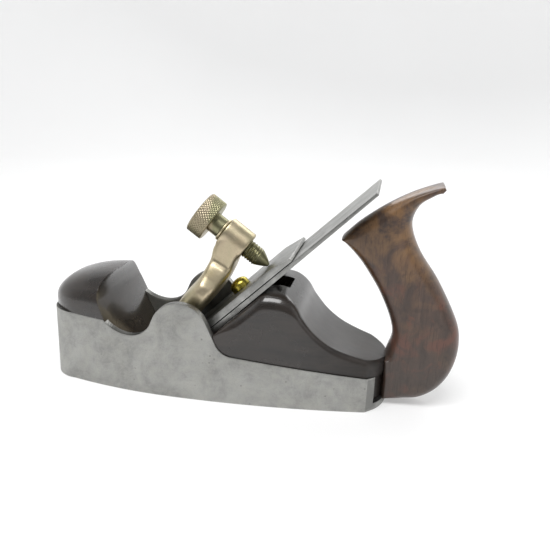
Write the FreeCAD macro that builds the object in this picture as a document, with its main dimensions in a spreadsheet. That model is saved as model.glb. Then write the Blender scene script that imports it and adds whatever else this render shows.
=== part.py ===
"""Infill smoothing plane: coffin-shaped cast body, two wood infills, open handle,
tapered cutting iron with cap iron, and a pivoted lever cap with a knurled screw.

Frame, in millimetres: the cutting edge lies on the Y axis at the sole, +X points to
the heel, +Y to the right of the user and +Z up. The sole is the plane Z = 0.
"""
import FreeCAD, Part
import math
import os
import Sketcher
from FreeCAD import Placement, Rotation, Vector

# alias, value in millimetres or degrees
SIZES = [
    # coffin outline of the body, seen from above
    ("toe_side", 57.5), ("toe_radius", 67.5), ("toe_round", 14.0), ("widest", 18.0),
    ("widest_half", 36.2), ("fore_radius", 273.0), ("heel_side", 138.0),
    ("aft_radius", 606.0), ("heel_radius", 31.5),
    # casting
    ("sole_thick", 4.0), ("wall_thick", 4.5), ("wall_blank", 62.0), ("toe_high", 44.8),
    ("shoulder_far", 21.3), ("shoulder_high", 43.5), ("dip_far", 4.5), ("dip_high", 36.5),
    ("scoop_radius", 24.0), ("dip_radius", 15.5), ("hump_far", 27.2), ("hump_high", 60.1),
    ("hump_radius", 17.5), ("flank_angle", 25.0), ("tail_start", 58.9), ("tail_start_high", 29.7),
    ("tail_end_high", 21.6), ("tail_radius", 12.0),
    # mouth and bed
    ("bed_angle", 45.0), ("mouth_front", 0.9), ("mouth_half", 27.5), ("bed_gap", 0.05),
    # cutting iron
    ("iron_wide", 54.0), ("iron_long", 187.0), ("iron_thick", 4.0), ("iron_top_thick", 1.8),
    ("bevel_angle", 25.0), ("edge_high", 0.1), ("slot_wide", 11.0), ("slot_low", 68.0),
    ("slot_high", 108.0), ("keyhole_radius", 9.0),
    # cap iron and its screw
    ("cap_iron_set", 1.2), ("cap_iron_long", 127.0), ("cap_iron_front", 4.7),
    ("cap_iron_under", 0.5), ("boss_at", 83.0), ("boss_radius", 6.3), ("boss_high", 6.6),
    ("clamp_gap", 0.12),
    ("cap_screw_radius", 4.0), ("cap_screw_head_radius", 8.0), ("cap_screw_head", 3.0),
    # lever cap and its screw
    ("pin_far", 24.0), ("pin_high", 45.0), ("pin_radius", 3.0), ("screw_angle", 34.5),
    ("tip_at", 105.8), ("screw_radius", 6.0), ("run_gap", 0.06), ("tip_radius", 1.3),
    ("tip_cone", 9.0), ("lever_boss_low", 16.8), ("lever_boss_high", 33.8),
    ("lever_boss_radius", 9.8), ("lever_half", 27.0), ("washer_low", 34.2),
    ("washer_thick", 1.4), ("washer_radius", 7.6), ("neck_radius", 6.4), ("knob_low", 42.6),
    ("knob_high", 53.0), ("knob_radius", 13.6), ("knob_bevel", 0.8),
    # wood
    ("wood_inset", 1.0), ("wood_blank", 80.0), ("crest_high", 69.0),
    ("lip_radius", 12.0), ("scoop_far", 26.3), ("scoop_high", 60.5),
    ("throat_far", 3.4), ("throat_lean", 23.6), ("groove_half", 9.5), ("groove_deep", 10.0),
    ("groove_low", 64.0), ("rear_crest", 69.0), ("wood_round", 4.0), ("handle_thick", 22.0),
    ("tenon_thick", 12.0), ("tenon_gap", 0.05),
    # fixings
    ("rivet_radius", 2.4), ("dowel_radius", 2.5),
]

doc = FreeCAD.newDocument("infill_smoothing_plane")
sheet = doc.addObject("Spreadsheet::Sheet", "Sizes")
for row, (alias, value) in enumerate(SIZES, start=1):
    sheet.set(f"A{row}", alias)
    sheet.set(f"B{row}", str(value))
    sheet.setAlias(f"B{row}", alias)
doc.recompute()

size = {alias: float(value) for alias, value in SIZES}


def cell(alias):
    return f"Sizes.{alias}"


# ------------------------------------------------------------------ sketches
def new_body(label):
    body = doc.addObject("PartDesign::Body", label)
    body.Label = label
    return body


def new_sketch(body, name, role, height=0.0):
    """A sketch on one of the body's own origin planes."""
    plane = next(f for f in body.Origin.OriginFeatures if f.Role == role)
    sketch = body.newObject("Sketcher::SketchObject", name)
    sketch.AttachmentSupport = [(plane, "")]
    sketch.MapMode = "FlatFace"
    sketch.AttachmentOffset = Placement(Vector(0, 0, height), Rotation())
    return sketch


def outline(sketch, start, *moves):
    """Draw a closed outline of lines (x, y) and three-point arcs (xm, ym, x, y)."""
    here = Vector(start[0], start[1], 0)
    first = here
    for move in moves:
        there = Vector(move[-2], move[-1], 0)
        if len(move) == 4:
            middle = Vector(move[0], move[1], 0)
            sketch.addGeometry(Part.Arc(here, middle, there))
        else:
            sketch.addGeometry(Part.LineSegment(here, there))
        here = there
    if here.distanceToPoint(first) > 1e-6:
        sketch.addGeometry(Part.LineSegment(here, first))


def bow(start, end, radius, side):
    """The middle point of an arc of this radius; side +1 bulges to the left of the way."""
    chord = Vector(end[0] - start[0], end[1] - start[1], 0)
    half = chord.Length / 2
    rise = radius - math.sqrt(radius * radius - half * half)
    left = Vector(-chord.y, chord.x, 0).normalize()
    middle = Vector(start[0], start[1], 0) + chord * 0.5 + left * (rise * side)
    return (middle.x, middle.y)


def pad(body, sketch, name, length, both=False):
    feature = body.newObject("PartDesign::Pad", name)
    feature.Profile = sketch
    feature.Midplane = both
    feature.setExpression("Length", length)
    doc.recompute()
    return feature


def pocket(body, sketch, name, length, both=False):
    """Cut a sketch out of the body, and make sure that it took something away."""
    before = body.Shape.Volume
    feature = body.newObject("PartDesign::Pocket", name)
    feature.Profile = sketch
    feature.Midplane = both
    feature.setExpression("Length", length)
    doc.recompute()
    if body.Shape.Volume > before - 1e-3:
        raise RuntimeError(f"{name} cuts nothing")
    return feature


def revolve(body, sketch, name):
    feature = body.newObject("PartDesign::Revolution", name)
    feature.Profile = sketch
    feature.ReferenceAxis = (sketch, ["V_Axis"])
    feature.Angle = 360
    doc.recompute()
    return feature


def cut(label, base, *tools):
    """A boolean cut of several tools, under one label."""
    for number, tool in enumerate(tools, start=1):
        result = doc.addObject("Part::Cut", f"{label}_cut_{number}")
        result.Base = base
        result.Tool = tool
        base = result
    base.Label = label
    doc.recompute()
    return base


def rod(label, radius, length, across, high):
    """A round bar along Y, centred on the plane's middle."""
    bar = doc.addObject("Part::Cylinder", label)
    bar.Label = label
    bar.setExpression("Radius", radius)
    bar.setExpression("Height", length)
    bar.Placement = Placement(Vector(across, float(length) / 2, high),
                              Rotation(Vector(1, 0, 0), 90))
    return bar


# --------------------------------------------------------------- coffin plan
def half_width(x):
    """Half the width of the body at x."""
    radius = size["fore_radius"] if x < size["widest"] else size["aft_radius"]
    run = x - size["widest"]
    return size["widest_half"] - radius + math.sqrt(radius * radius - run * run)


def plan(sketch, inset=0.0, heel_inset=0.0, start_x=None, end_x=None):
    """The coffin outline drawn inwards by inset; start_x or end_x square an end off."""
    wide = size["widest_half"] - inset
    left = -size["toe_side"] + inset * 1.15 if start_x is None else start_x
    right = size["heel_side"] if end_x is None else end_x
    fore = half_width(left) - inset
    aft = half_width(right) - inset
    moves = []
    if left < size["widest"]:
        here = (left, -fore)
        top = (size["widest"], -wide)
        moves.append(bow(here, top, size["fore_radius"] - inset, -1) + top)
    here = (max(left, size["widest"]), -half_width(max(left, size["widest"])) + inset)
    moves.append(bow(here, (right, -aft), size["aft_radius"] - inset, -1) + (right, -aft))
    if end_x is None:
        moves.append(bow((right, -aft), (right, aft), size["heel_radius"] - heel_inset, -1)
                     + (right, aft))
    else:
        moves.append((right, aft))
    moves.append(bow((right, aft), (here[0], -here[1]), size["aft_radius"] - inset, -1)
                 + (here[0], -here[1]))
    if left < size["widest"]:
        moves.append(bow((size["widest"], wide), (left, fore), size["fore_radius"] - inset, -1)
                     + (left, fore))
    if start_x is None:
        moves.append(bow((left, fore), (left, -fore), size["toe_radius"], -1) + (left, -fore))
    outline(sketch, (left, -fore), *moves)


def round_toe(body, feature, radius):
    """Round the two upright corners of the toe."""
    names = []
    for number, edge in enumerate(feature.Shape.Edges, start=1):
        ends = [vertex.Point for vertex in edge.Vertexes]
        upright = len(ends) == 2 and abs(ends[0].x - ends[1].x) + abs(ends[0].y - ends[1].y) < 1e-6
        if upright and ends[0].x < -size["toe_side"] / 2:
            names.append(f"Edge{number}")
    fillet = body.newObject("PartDesign::Fillet", f"{body.Label}_toe_round")
    fillet.Base = (feature, names)
    fillet.Radius = radius
    doc.recompute()
    return fillet


# ------------------------------------------------------------------- casting
dip = Vector(-size["dip_far"], size["dip_high"] + size["dip_radius"], 0)
scoop = Vector(-size["dip_far"], size["dip_high"] + size["scoop_radius"], 0)
hump = Vector(size["hump_far"], size["hump_high"] - size["hump_radius"], 0)


def on(centre, radius, degrees):
    turn = math.radians(degrees)
    return (centre.x + radius * math.cos(turn), centre.y + radius * math.sin(turn))


def wall_top():
    """The top edge of a side wall, from the toe to the heel."""
    reach = hump - dip
    meet = dip + reach * (size["dip_radius"] / reach.Length)
    meet_angle = math.degrees(math.atan2(reach.y, reach.x))
    hump_start = 180 + meet_angle
    leave = on(hump, size["hump_radius"], size["flank_angle"])
    tail_slope = ((size["tail_start_high"] - size["tail_end_high"])
                  / (size["heel_side"] - size["tail_start"]))
    fall = math.radians(90 - size["flank_angle"])
    bend = fall - math.atan(tail_slope)
    tangent = size["tail_radius"] * math.tan(bend / 2)
    corner = (size["tail_start"] - tangent * math.cos(math.atan(tail_slope)),
              size["tail_start_high"] + tangent * math.sin(math.atan(tail_slope)))
    turn = (corner[0] - tangent * math.cos(fall), corner[1] + tangent * math.sin(fall))
    tail = (size["tail_start"], size["tail_start_high"])
    end = (size["heel_side"] + 20, size["tail_end_high"] - 20 * tail_slope)
    shoulder = (-size["shoulder_far"], size["shoulder_high"])
    shoulder_angle = math.degrees(math.atan2(shoulder[1] - scoop.y, shoulder[0] - scoop.x))
    return [
        shoulder,
        on(scoop, size["scoop_radius"], (shoulder_angle % 360 + 270) / 2)
        + (dip.x, size["dip_high"]),
        on(dip, size["dip_radius"], (meet_angle - 90) / 2) + (meet.x, meet.y),
        on(hump, size["hump_radius"], (hump_start + size["flank_angle"]) / 2) + leave,
        turn,
        bow(turn, tail, size["tail_radius"], -1) + tail,
        end,
    ]


def coffin_block(label, base, inset, rounding, height, **ends):
    """A block of the coffin outline, drawn inwards by inset, with a rounded toe."""
    body = new_body(label)
    sketch = new_sketch(body, f"{label}_plan", "XY_Plane", base)
    plan(sketch, inset=inset, **ends)
    feature = pad(body, sketch, f"{label}_pad", height)
    if "start_x" not in ends:
        round_toe(body, feature, rounding)
    return body


# the part of the body that the walls and sole leave free
hollow = coffin_block("hollow", size["sole_thick"], size["wall_thick"],
                      size["toe_round"] - size["wall_thick"], cell("wall_blank"),
                      end_x=size["heel_side"] + 30)

casting = coffin_block("casting", 0, 0, size["toe_round"], cell("wall_blank"))
rim = new_sketch(casting, "casting_rim", "XZ_Plane")
top = wall_top()
outline(rim, (-80, size["toe_high"]), *top, (top[-1][0], 90), (-80, 90))
pocket(casting, rim, "casting_walls", "200", both=True)

# the bed is a plane at 45 degrees, and meets the sole at bed_foot
bed_turn = math.radians(size["bed_angle"])
bed_foot = size["iron_thick"] / math.sin(bed_turn) + size["bed_gap"] / math.sin(bed_turn)


def bed_x(z):
    return bed_foot + z / math.tan(bed_turn)


sole_top = size["sole_thick"]
mouth = new_body("mouth_tool")
mouth_sketch = new_sketch(mouth, "mouth_side", "XZ_Plane")
outline(mouth_sketch, (-size["mouth_front"], -1), (-size["mouth_front"], 1.2),
        (-size["throat_far"], sole_top + 1), (bed_x(sole_top + 1), sole_top + 1), (bed_x(-1), -1))
pad(mouth, mouth_sketch, "mouth_pad", cell("mouth_half") + " * 2", both=True)

# ------------------------------------------------------- rivets, pin, dowels
RIVETS = {"front_rivet_fore": (-47, 21), "front_rivet_aft": (-16, 17),
          "rear_rivet_fore": (62, 15), "rear_rivet_middle": (92, 13),
          "rear_rivet_aft": (118, 12)}
rivets = []
for label, (x, z) in RIVETS.items():
    rivets.append(rod(label, cell("rivet_radius"), f"{2 * half_width(x) - 0.8}", x, z))
pin = rod("lever_cap_pin", cell("pin_radius"), f"{2 * half_width(size['pin_far']) - 0.6}",
          size["pin_far"], size["pin_high"])

DOWELS = {"handle_dowel_fore": (129, 20), "handle_dowel_aft": (139, 14)}
dowels = []
for label, (x, z) in DOWELS.items():
    inside = half_width(x + size["dowel_radius"]) - size["wall_thick"] - 0.5
    dowels.append(rod(label, cell("dowel_radius"), f"{2 * inside}", x, z))

body_casting = cut("body_casting", casting, hollow, mouth, *rivets, pin)

# -------------------------------------------------------------- front infill
front = coffin_block("front_block", sole_top, size["wood_inset"],
                     size["toe_round"] - size["wood_inset"], cell("wood_blank"), end_x=12)
lip = Vector(size["lip_radius"] - size["scoop_far"], size["scoop_high"], 0)
lip_top = on(lip, size["lip_radius"], 125)
toe_crest = (-50.0, 63.6)

# behind the lip a thumb scoop runs into the straight throat, which leans down to the mouth
lean = math.radians(size["throat_lean"])
throat_low = (-size["throat_far"], sole_top)
thumb_radius = (((size["scoop_high"] - sole_top) * math.sin(lean)
                 - (size["scoop_far"] - size["throat_far"]) * math.cos(lean))
                / (1 - math.cos(lean)))
thumb = Vector(thumb_radius - size["scoop_far"], size["scoop_high"], 0)
front_top = new_sketch(front, "front_crest", "XZ_Plane")
outline(front_top, (-80, 48.0), (-61.8, 48.0), (-58.6, 58.0) + toe_crest,
        (-38.0, 67.5) + (lip_top[0], size["crest_high"]),
        lip_top,
        on(lip, size["lip_radius"], 150) + (-size["scoop_far"], size["scoop_high"]),
        on(thumb, thumb_radius, 180 + size["throat_lean"] / 2)
        + on(thumb, thumb_radius, 180 + size["throat_lean"]),
        throat_low, (throat_low[0], sole_top - 1), (60, sole_top - 1), (60, 100), (-80, 100))
pocket(front, front_top, "front_scoop", "200", both=True)

# the bun is rounded across: a dome between two upright sides
dome = new_sketch(front, "front_dome", "YZ_Plane")
outline(dome, (-50, 50), (-32.6, 50), (-29.9, 59.0, -21.5, 64.8), (0, size["crest_high"], 21.5, 64.8),
        (29.9, 59.0, 32.6, 50), (50, 50), (50, 100), (-50, 100))
pocket(front, dome, "front_dome_cut", "200", both=True)
front_infill = cut("front_infill", front, body_casting, *rivets[:2])


def turned_box(label, long, wide, deep, corner, degrees):
    """A box whose length rises at an angle above +X, for cuts along a slope."""
    box = doc.addObject("Part::Box", label)
    box.Length = long
    box.Width = wide
    box.Height = deep
    box.Placement = Placement(corner, Rotation(Vector(0, 1, 0), -degrees))
    return box


# --------------------------------------------------------------- rear infill
rear = coffin_block("rear_block", sole_top, size["wood_inset"], 0, cell("wood_blank"),
                    start_x=4, heel_inset=1.7)
crest = size["rear_crest"]
rear_top = new_sketch(rear, "rear_crest_side", "XZ_Plane")
outline(rear_top, (-10, sole_top - 1), (bed_x(sole_top - 1), sole_top - 1),
        (bed_x(crest - 1.5), crest - 1.5), (bed_x(crest - 0.5) + 1, crest),
        (80.5, crest), (91.6, 65.4, 96.8, 58.8), (108.6, 44.3, 127, 34.0), (170, 26.0),
        (170, 100), (-10, 100))
rear_cut = pocket(rear, rear_top, "rear_shape", "200", both=True)


def long_side_edges(shape, low, inset):
    """The edges where a block's top meets its two long sides."""
    names = []
    for number, edge in enumerate(shape.Edges, start=1):
        middle = edge.valueAt((edge.FirstParameter + edge.LastParameter) / 2)
        ends = [vertex.Point for vertex in edge.Vertexes]
        level = max(end.z for end in ends) > low and abs(ends[0].x - ends[-1].x) > 3
        side = abs(abs(middle.y) - half_width(middle.x) + inset) < 0.3
        if level and side and min(end.z for end in ends) > sole_top + 1:
            names.append(f"Edge{number}")
    return names


# a slanted edge starts each side at the bed and isn't rounded
tops = [name for name in long_side_edges(rear.Shape, 28, size["wood_inset"])
        if rear.Shape.getElement(name).CenterOfMass.x
        > bed_x(rear.Shape.getElement(name).CenterOfMass.z) + 4]
rounding = rear.newObject("PartDesign::Fillet", "rear_round")
rounding.Base = (rear_cut, tops)
rounding.setExpression("Radius", cell("wood_round"))
doc.recompute()

groove_low = size["groove_low"]
groove_deep = size["groove_deep"]
bed_cos = math.cos(bed_turn)
bed_sin = math.sin(bed_turn)
groove = turned_box("groove", 60, 2 * size["groove_half"], groove_deep + 5,
                    Vector(bed_foot + groove_low * bed_cos + groove_deep * bed_sin,
                           -size["groove_half"],
                           groove_low * bed_sin - groove_deep * bed_cos), size["bed_angle"])

TENON = {"start": 122.0, "end": 150.0, "low": 8.0, "high": 29.0}


def tenon_box(label, gap):
    box = doc.addObject("Part::Box", label)
    box.setExpression("Width", f"{cell('tenon_thick')} + {2 * gap}")
    box.Length = TENON["end"] - TENON["start"] + 2 * gap
    box.Height = TENON["high"] - TENON["low"] + 2 * gap
    box.Placement = Placement(Vector(TENON["start"] - gap, -size["tenon_thick"] / 2 - gap,
                                     TENON["low"] - gap), Rotation())
    return box


mortise = tenon_box("mortise", size["tenon_gap"])
rear_infill = cut("rear_infill", rear, body_casting, groove, mortise, *rivets[2:], *dowels)

# -------------------------------------------------------------------- handle
grip = new_body("grip")
grip_side = new_sketch(grip, "grip_side", "XZ_Plane")
nose = (115.6, 99.4)
horn = (168.0, 134.2)
outline(grip_side, nose,
        (134.2, 77.6, 146.3, 55.5), (149.9, 44.0, 147.0, 33.0), (143.0, 28.0), (143.0, 1.8),
        (157.0, 2.6), (177.0, 9.0, 186.6, 27.0), (188.9, 41.0, 185.5, 55.5),
        (174.0, 76.6, 160.0, 95.3), (154.3, 109.0, 157.5, 121.5), (162.4, 126.6, 169.2, 129.9),
        (170.4, 132.6) + horn, (141.4, 122.6) + nose)
grip_pad = pad(grip, grip_side, "grip_pad", cell("handle_thick"), both=True)
tenon = tenon_box("tenon", 0)
handle_blank = cut("handle_blank", grip, rear, body_casting)
handle_whole = doc.addObject("Part::Fuse", "handle_whole")
handle_whole.Base = handle_blank
handle_whole.Tool = tenon
handle = cut("handle", handle_whole, *dowels)

# ------------------------------------------------------------- cutting iron
taper = math.degrees(math.atan((size["iron_thick"] - size["iron_top_thick"])
                               / size["iron_long"]))
front_pitch = size["bed_angle"] - taper
iron_place = Placement(Vector(0, 0, size["edge_high"]), Rotation(Vector(0, 1, 0), -front_pitch))


def on_iron(along, out, across=0.0):
    """A point given along the iron's front face and out from it."""
    return iron_place.multVec(Vector(along, across, out))


iron = new_body("cutting_iron")
iron_side = new_sketch(iron, "iron_side", "XZ_Plane")
bevel_back = size["iron_thick"] / math.tan(math.radians(size["bevel_angle"]))
back_at = -(size["iron_thick"] - math.tan(math.radians(taper)) * bevel_back)
outline(iron_side, (0, 0), (size["iron_long"], 0), (size["iron_long"], -size["iron_top_thick"]),
        (bevel_back, back_at))
pad(iron, iron_side, "iron_plate", cell("iron_wide"), both=True)
slot = new_sketch(iron, "iron_slot", "XY_Plane")
slot_half = size["slot_wide"] / 2
key = size["keyhole_radius"]
key_x = size["slot_low"] - math.sqrt(key * key - slot_half * slot_half)
outline(slot, (size["slot_low"], -slot_half), (size["slot_high"], -slot_half),
        (size["slot_high"] + slot_half, 0, size["slot_high"], slot_half),
        (size["slot_low"], slot_half), (key_x - key, 0, size["slot_low"], -slot_half))
pocket(iron, slot, "iron_slot_cut", "20", both=True)
iron.Placement = iron_place

# ------------------------------------------------------- cap iron and screw
cap_iron = new_body("cap_iron")
cap_side = new_sketch(cap_iron, "cap_iron_side", "XZ_Plane")
front_face = size["cap_iron_front"]
under = size["cap_iron_under"]
low_end = size["cap_iron_set"]
high_end = size["cap_iron_long"]
hump_start = (low_end, 0.1)
hump_end = (low_end + 12, front_face)
hump_rise = hump_end[1] - hump_start[1]
hump_round = ((hump_end[0] - hump_start[0]) ** 2 + hump_rise ** 2) / (2 * hump_rise)
outline(cap_side, hump_start, bow(hump_start, hump_end, hump_round, 1) + hump_end,
        (high_end - 14, front_face), (high_end, front_face - 2.2), (high_end, under),
        (low_end + 26, under), (low_end + 11, 1.3, low_end, 0.1))
pad(cap_iron, cap_side, "cap_iron_plate", cell("iron_wide"), both=True)
spigot_radius = size["boss_radius"] - 1.0
cap_hole = new_sketch(cap_iron, "cap_iron_hole", "XY_Plane")
cap_hole.addGeometry(Part.Circle(Vector(size["boss_at"], 0, 0), Vector(0, 0, 1), spigot_radius))
pocket(cap_iron, cap_hole, "cap_iron_bore", "20", both=True)
cap_iron.Placement = iron_place

boss_place = Placement(on_iron(size["boss_at"], 0), iron_place.Rotation)
thread_radius = size["cap_screw_radius"]
boss = new_body("cap_iron_boss")
boss_half = new_sketch(boss, "boss_half", "XZ_Plane")
boss_top = front_face + size["boss_high"]
shoulder_z = front_face + size["boss_high"] * 0.42
screw_end = boss_top - 2.0
outline(boss_half, (thread_radius + size["run_gap"], under + 0.1), (spigot_radius, under + 0.1),
        (spigot_radius, front_face), (size["boss_radius"], front_face),
        (size["boss_radius"], shoulder_z),
        (size["boss_radius"] * 0.76, boss_top - 1.25, 1.5, boss_top), (0, boss_top),
        (0, screw_end + 0.1),
        (thread_radius + size["run_gap"], screw_end + 0.1))
revolve(boss, boss_half, "boss_turned")
boss.Placement = boss_place

cap_screw = new_body("cap_iron_screw")
cap_screw_half = new_sketch(cap_screw, "cap_screw_half", "XZ_Plane")
head_top = -(size["iron_thick"] - math.tan(math.radians(taper)) * size["boss_at"]) - 0.25
head_low = head_top - size["cap_screw_head"]
head_radius = size["cap_screw_head_radius"]
outline(cap_screw_half, (0, head_low), (head_radius - 0.6, head_low), (head_radius, head_low + 0.6),
        (head_radius, head_top), (thread_radius, head_top), (thread_radius, screw_end - 0.8),
        (thread_radius - 0.8, screw_end), (0, screw_end))
revolve(cap_screw, cap_screw_half, "cap_screw_turned")
driver = new_sketch(cap_screw, "cap_screw_driver", "XZ_Plane")
outline(driver, (-0.7, head_low - 1), (0.7, head_low - 1), (0.7, head_low + 1.4),
        (-0.7, head_low + 1.4))
pocket(cap_screw, driver, "cap_screw_slot", "40", both=True)
cap_screw.Placement = boss_place

# -------------------------------------------------- lever cap and thumbscrew
# the tip's lower edge and the nose stand clamp_gap off the cap iron, so that it can slide
tip_lean = math.radians(front_pitch + 90 - (180 - size["screw_angle"]))
tip_flat = size["tip_radius"] - 0.5
tip = on_iron(size["tip_at"], front_face + size["clamp_gap"] + tip_flat * abs(math.sin(tip_lean)))
screw_place = Placement(tip, Rotation(Vector(0, 1, 0), size["screw_angle"] - 90))


def on_screw(up, out=0.0):
    """A point in the XZ plane, up the screw's axis from its tip and out on the upper side."""
    return screw_place.multVec(Vector(out, 0, up))


def bar_on_screw(label, radius, low, high):
    """A round bar along the screw's axis."""
    bar = doc.addObject("Part::Cylinder", label)
    bar.setExpression("Radius", radius)
    bar.Height = high - low
    bar.Placement = Placement(on_screw(low), screw_place.Rotation)
    return bar


boss_low = size["lever_boss_low"]
boss_high = size["lever_boss_high"]
low_corner = on_screw(boss_low, -size["lever_boss_radius"] + 1.0)
high_corner = on_screw(boss_high, -size["lever_boss_radius"] + 1.0)
low_axis = on_screw(boss_low)
high_axis = on_screw(boss_high)
touch = on_iron(15.5, front_face + size["clamp_gap"])
blade = new_body("lever_blade")
blade_side = new_sketch(blade, "blade_side", "XZ_Plane")
outline(blade_side, (touch.x, touch.z), (touch.x + 2.6, touch.z + 5.0, touch.x + 6.5, 26.5),
        (25.5, 38.4, 33.2, 46.4), (43.5, 60.6, 50.6, 73.2), (low_corner.x, low_corner.z),
        (low_axis.x, low_axis.z), (high_axis.x, high_axis.z), (high_corner.x, high_corner.z),
        (38.0, 80.0, 32.6, 70.2), (23.0, 58.4, 15.6, 46.0), (8.6, 30.5, touch.x - 1.6, 15.8))
pad(blade, blade_side, "blade_pad", cell("lever_half") + " * 2", both=True)
lever_width = new_body("lever_width")
width_sketch = new_sketch(lever_width, "lever_width_front", "YZ_Plane")
wide = size["lever_half"]
neck = size["lever_boss_radius"]
outline(width_sketch, (-wide, 5), (wide, 5), (wide, 65), (wide - 1.6, 70.5, wide - 6.5, 73),
        (neck + 4.2, 76.2, neck, 81.5), (neck, 120), (-neck, 120), (-neck, 81.5),
        (-neck - 4.2, 76.2, -wide + 6.5, 73), (-wide + 1.6, 70.5, -wide, 65))
pad(lever_width, width_sketch, "lever_width_pad", "160")
narrowed = doc.addObject("Part::Common", "lever_narrowed")
narrowed.Base = blade
narrowed.Tool = lever_width
lever_boss = bar_on_screw("lever_boss", cell("lever_boss_radius"), boss_low, boss_high)
lever_whole = doc.addObject("Part::Fuse", "lever_whole")
lever_whole.Base = narrowed
lever_whole.Tool = lever_boss
screw_bore = bar_on_screw("screw_bore", f"{cell('screw_radius')} + {cell('run_gap')}",
                          boss_low - 30, boss_high + 30)
pin_bore = rod("pin_bore", f"{cell('pin_radius')} + {cell('run_gap')}", "100",
               size["pin_far"], size["pin_high"])
lever_cap = cut("lever_cap", lever_whole, screw_bore, pin_bore)

washer = new_body("screw_washer")
washer_half = new_sketch(washer, "washer_half", "XZ_Plane")
washer_low = size["washer_low"]
washer_high = washer_low + size["washer_thick"]
washer_hole = size["screw_radius"] + size["run_gap"]
washer_radius = size["washer_radius"]
outline(washer_half, (washer_hole, washer_low), (washer_radius - 0.3, washer_low),
        (washer_radius, washer_low + 0.3), (washer_radius, washer_high - 0.3),
        (washer_radius - 0.3, washer_high), (washer_hole, washer_high))
revolve(washer, washer_half, "washer_turned")
washer.Placement = screw_place

screw = new_body("thumb_screw")
screw_half = new_sketch(screw, "screw_half", "XZ_Plane")
shank = size["screw_radius"]
knob = size["knob_radius"]
bevel = size["knob_bevel"]
neck_low = washer_high + 0.1
outline(screw_half, (0, 0), (tip_flat, 0), (size["tip_radius"], 0.5),
        (shank, size["tip_cone"]), (shank, neck_low), (size["neck_radius"], neck_low),
        (size["neck_radius"], size["knob_low"]), (knob - bevel, size["knob_low"]),
        (knob, size["knob_low"] + bevel), (knob, size["knob_high"] - bevel),
        (knob - bevel, size["knob_high"]), (0, size["knob_high"]))
revolve(screw, screw_half, "screw_turned")
screw.Placement = screw_place

# -------------------------------------------------------------------- output
doc.recompute()
failed = [thing.Name for thing in doc.Objects
          if "Invalid" in thing.State or "Error" in thing.State]
if failed:
    raise RuntimeError(f"failed objects: {failed}")

NODES = [body_casting, front_infill, rear_infill, handle, *dowels, *rivets, pin, iron,
         cap_iron, boss, cap_screw, lever_cap, washer, screw]
os.makedirs("parts", exist_ok=True)
for node in NODES:
    shape = node.Shape
    if shape.isNull() or not shape.isValid() or not shape.Solids:
        raise RuntimeError(f"{node.Label} has no sound solid")
for node in NODES:
    node.Shape.exportStep(f"parts/{node.Label}.step")
    print(node.Label, len(node.Shape.Solids), round(node.Shape.Volume))
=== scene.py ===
"""Infill smoothing plane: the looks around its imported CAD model.

Lengths inside the functions are in millimetres, in the model's own frame: the cutting
edge on the Y axis, +X to the heel, +Z up from the sole. Meshes are made in metres.
"""
import math

import bmesh
import bpy
from bpy.props import FloatProperty, FloatVectorProperty, IntProperty, PointerProperty
from mathutils import Matrix, Vector


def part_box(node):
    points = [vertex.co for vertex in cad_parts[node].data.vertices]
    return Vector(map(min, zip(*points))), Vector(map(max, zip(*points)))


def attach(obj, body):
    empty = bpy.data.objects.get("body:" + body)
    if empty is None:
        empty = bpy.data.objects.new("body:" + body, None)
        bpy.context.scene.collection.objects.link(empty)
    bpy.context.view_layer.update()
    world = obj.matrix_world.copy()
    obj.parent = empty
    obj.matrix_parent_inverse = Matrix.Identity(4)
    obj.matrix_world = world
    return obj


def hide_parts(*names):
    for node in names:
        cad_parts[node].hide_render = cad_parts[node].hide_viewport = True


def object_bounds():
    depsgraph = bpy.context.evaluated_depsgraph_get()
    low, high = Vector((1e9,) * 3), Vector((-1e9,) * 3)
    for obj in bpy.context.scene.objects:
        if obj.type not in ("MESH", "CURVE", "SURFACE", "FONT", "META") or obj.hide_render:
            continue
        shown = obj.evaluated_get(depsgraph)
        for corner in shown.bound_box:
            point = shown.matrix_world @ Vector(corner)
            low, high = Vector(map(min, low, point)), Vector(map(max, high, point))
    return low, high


bl_info = {
    "name": "Infill smoothing plane",
    "version": (1, 0, 0),
    "blender": (4, 5, 0),
    "location": "3D View > Sidebar > Plane",
    "description": "Builds the visible pieces of an infill smoothing plane around its CAD model",
    "category": "Object",
}

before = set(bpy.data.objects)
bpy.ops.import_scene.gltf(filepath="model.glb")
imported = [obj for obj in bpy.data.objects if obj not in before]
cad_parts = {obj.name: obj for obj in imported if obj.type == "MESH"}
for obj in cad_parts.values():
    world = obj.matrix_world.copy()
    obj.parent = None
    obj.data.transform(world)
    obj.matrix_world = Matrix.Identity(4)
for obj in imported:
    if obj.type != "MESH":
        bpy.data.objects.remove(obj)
CAD_BOX = [list(corner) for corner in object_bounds()]
MM = 0.001


def low_mm(node):
    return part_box(node)[0] / MM


def high_mm(node):
    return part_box(node)[1] / MM


# ---------------------------------------------------------------- properties
def length(name, text, default_mm):
    return FloatProperty(name=name, description=text, default=default_mm * MM, min=0.0,
                         precision=5, subtype="DISTANCE", unit="LENGTH")


def colour(name, text, default):
    return FloatVectorProperty(name=name, description=text, default=default, size=3,
                               min=0.0, max=1.0, subtype="COLOR")


def turn(name, text, degrees):
    return FloatProperty(name=name, description=text, default=math.radians(degrees),
                         subtype="ANGLE", unit="ROTATION")


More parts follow.
